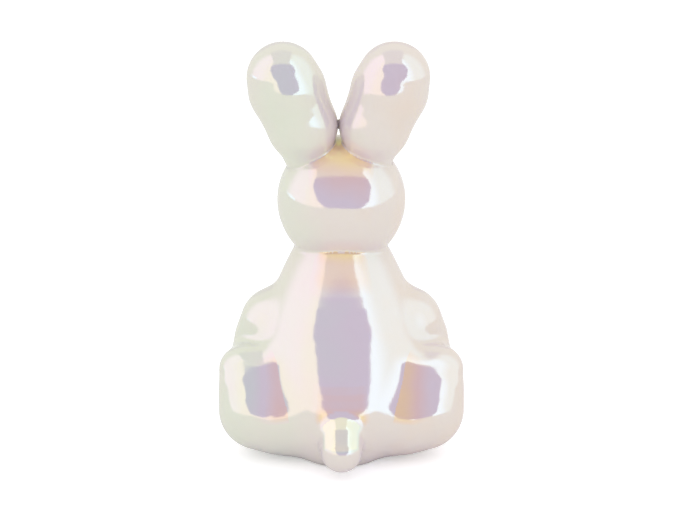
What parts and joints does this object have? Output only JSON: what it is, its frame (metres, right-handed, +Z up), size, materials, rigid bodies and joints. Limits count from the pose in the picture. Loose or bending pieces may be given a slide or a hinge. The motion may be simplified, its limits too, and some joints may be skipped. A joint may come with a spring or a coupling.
{
  "type": "rabbit figurine",
  "caption": "Seated rabbit figurine in glazed slip-cast ceramic with balloon-like round limbs, upright ears and a flat base to stand on.",
  "frame": {"origin": "on the ground under the middle of the figurine's bounding box", "axes": "+Z up through the ears, -Y the way the rabbit faces, +X to the rabbit's own left"},
  "size_m": [0.1054, 0.1018, 0.1763],
  "materials": {
    "pearl_glaze": "glossy pearl lustre"
  },
  "bodies": {
    "root": {"torso": "pearl_glaze", "head": "pearl_glaze", "muzzle": "pearl_glaze", "nose": "pearl_glaze", "eye_left": "pearl_glaze", "eye_right": "pearl_glaze", "ear_left": "pearl_glaze", "ear_right": "pearl_glaze", "arm_left": "pearl_glaze", "arm_right": "pearl_glaze", "haunch_left": "pearl_glaze", "haunch_right": "pearl_glaze", "knee_left": "pearl_glaze", "knee_right": "pearl_glaze", "foot_left": "pearl_glaze", "foot_right": "pearl_glaze", "tail": "pearl_glaze"}
  },
  "joints": []
}
